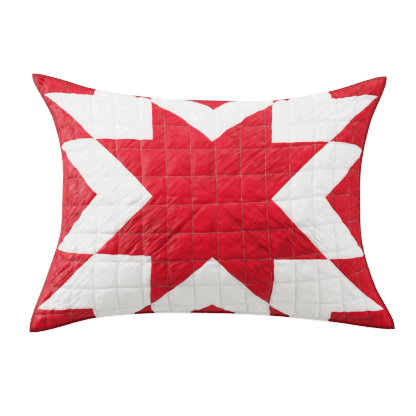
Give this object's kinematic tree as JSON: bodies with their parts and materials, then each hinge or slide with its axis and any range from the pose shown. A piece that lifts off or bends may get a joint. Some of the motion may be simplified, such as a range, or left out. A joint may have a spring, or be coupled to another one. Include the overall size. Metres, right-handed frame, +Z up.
{
  "type": "quilted star pillow sham",
  "caption": "Filled bed pillow sham with a red and white pieced star on its quilted face, drawn-in sides and eared corners, lying on its back.",
  "frame": {"origin": "on the surface it rests on, under the middle of the filled sham's outline", "axes": "+X along the longer side, to the right of the face; +Y to the top edge of the face; +Z up, out of the face"},
  "size_m": [0.669, 0.475, 0.1996],
  "materials": {
    "patchwork_cotton": "matte"
  },
  "bodies": {
    "root": {"sham": "patchwork_cotton"}
  },
  "joints": []
}
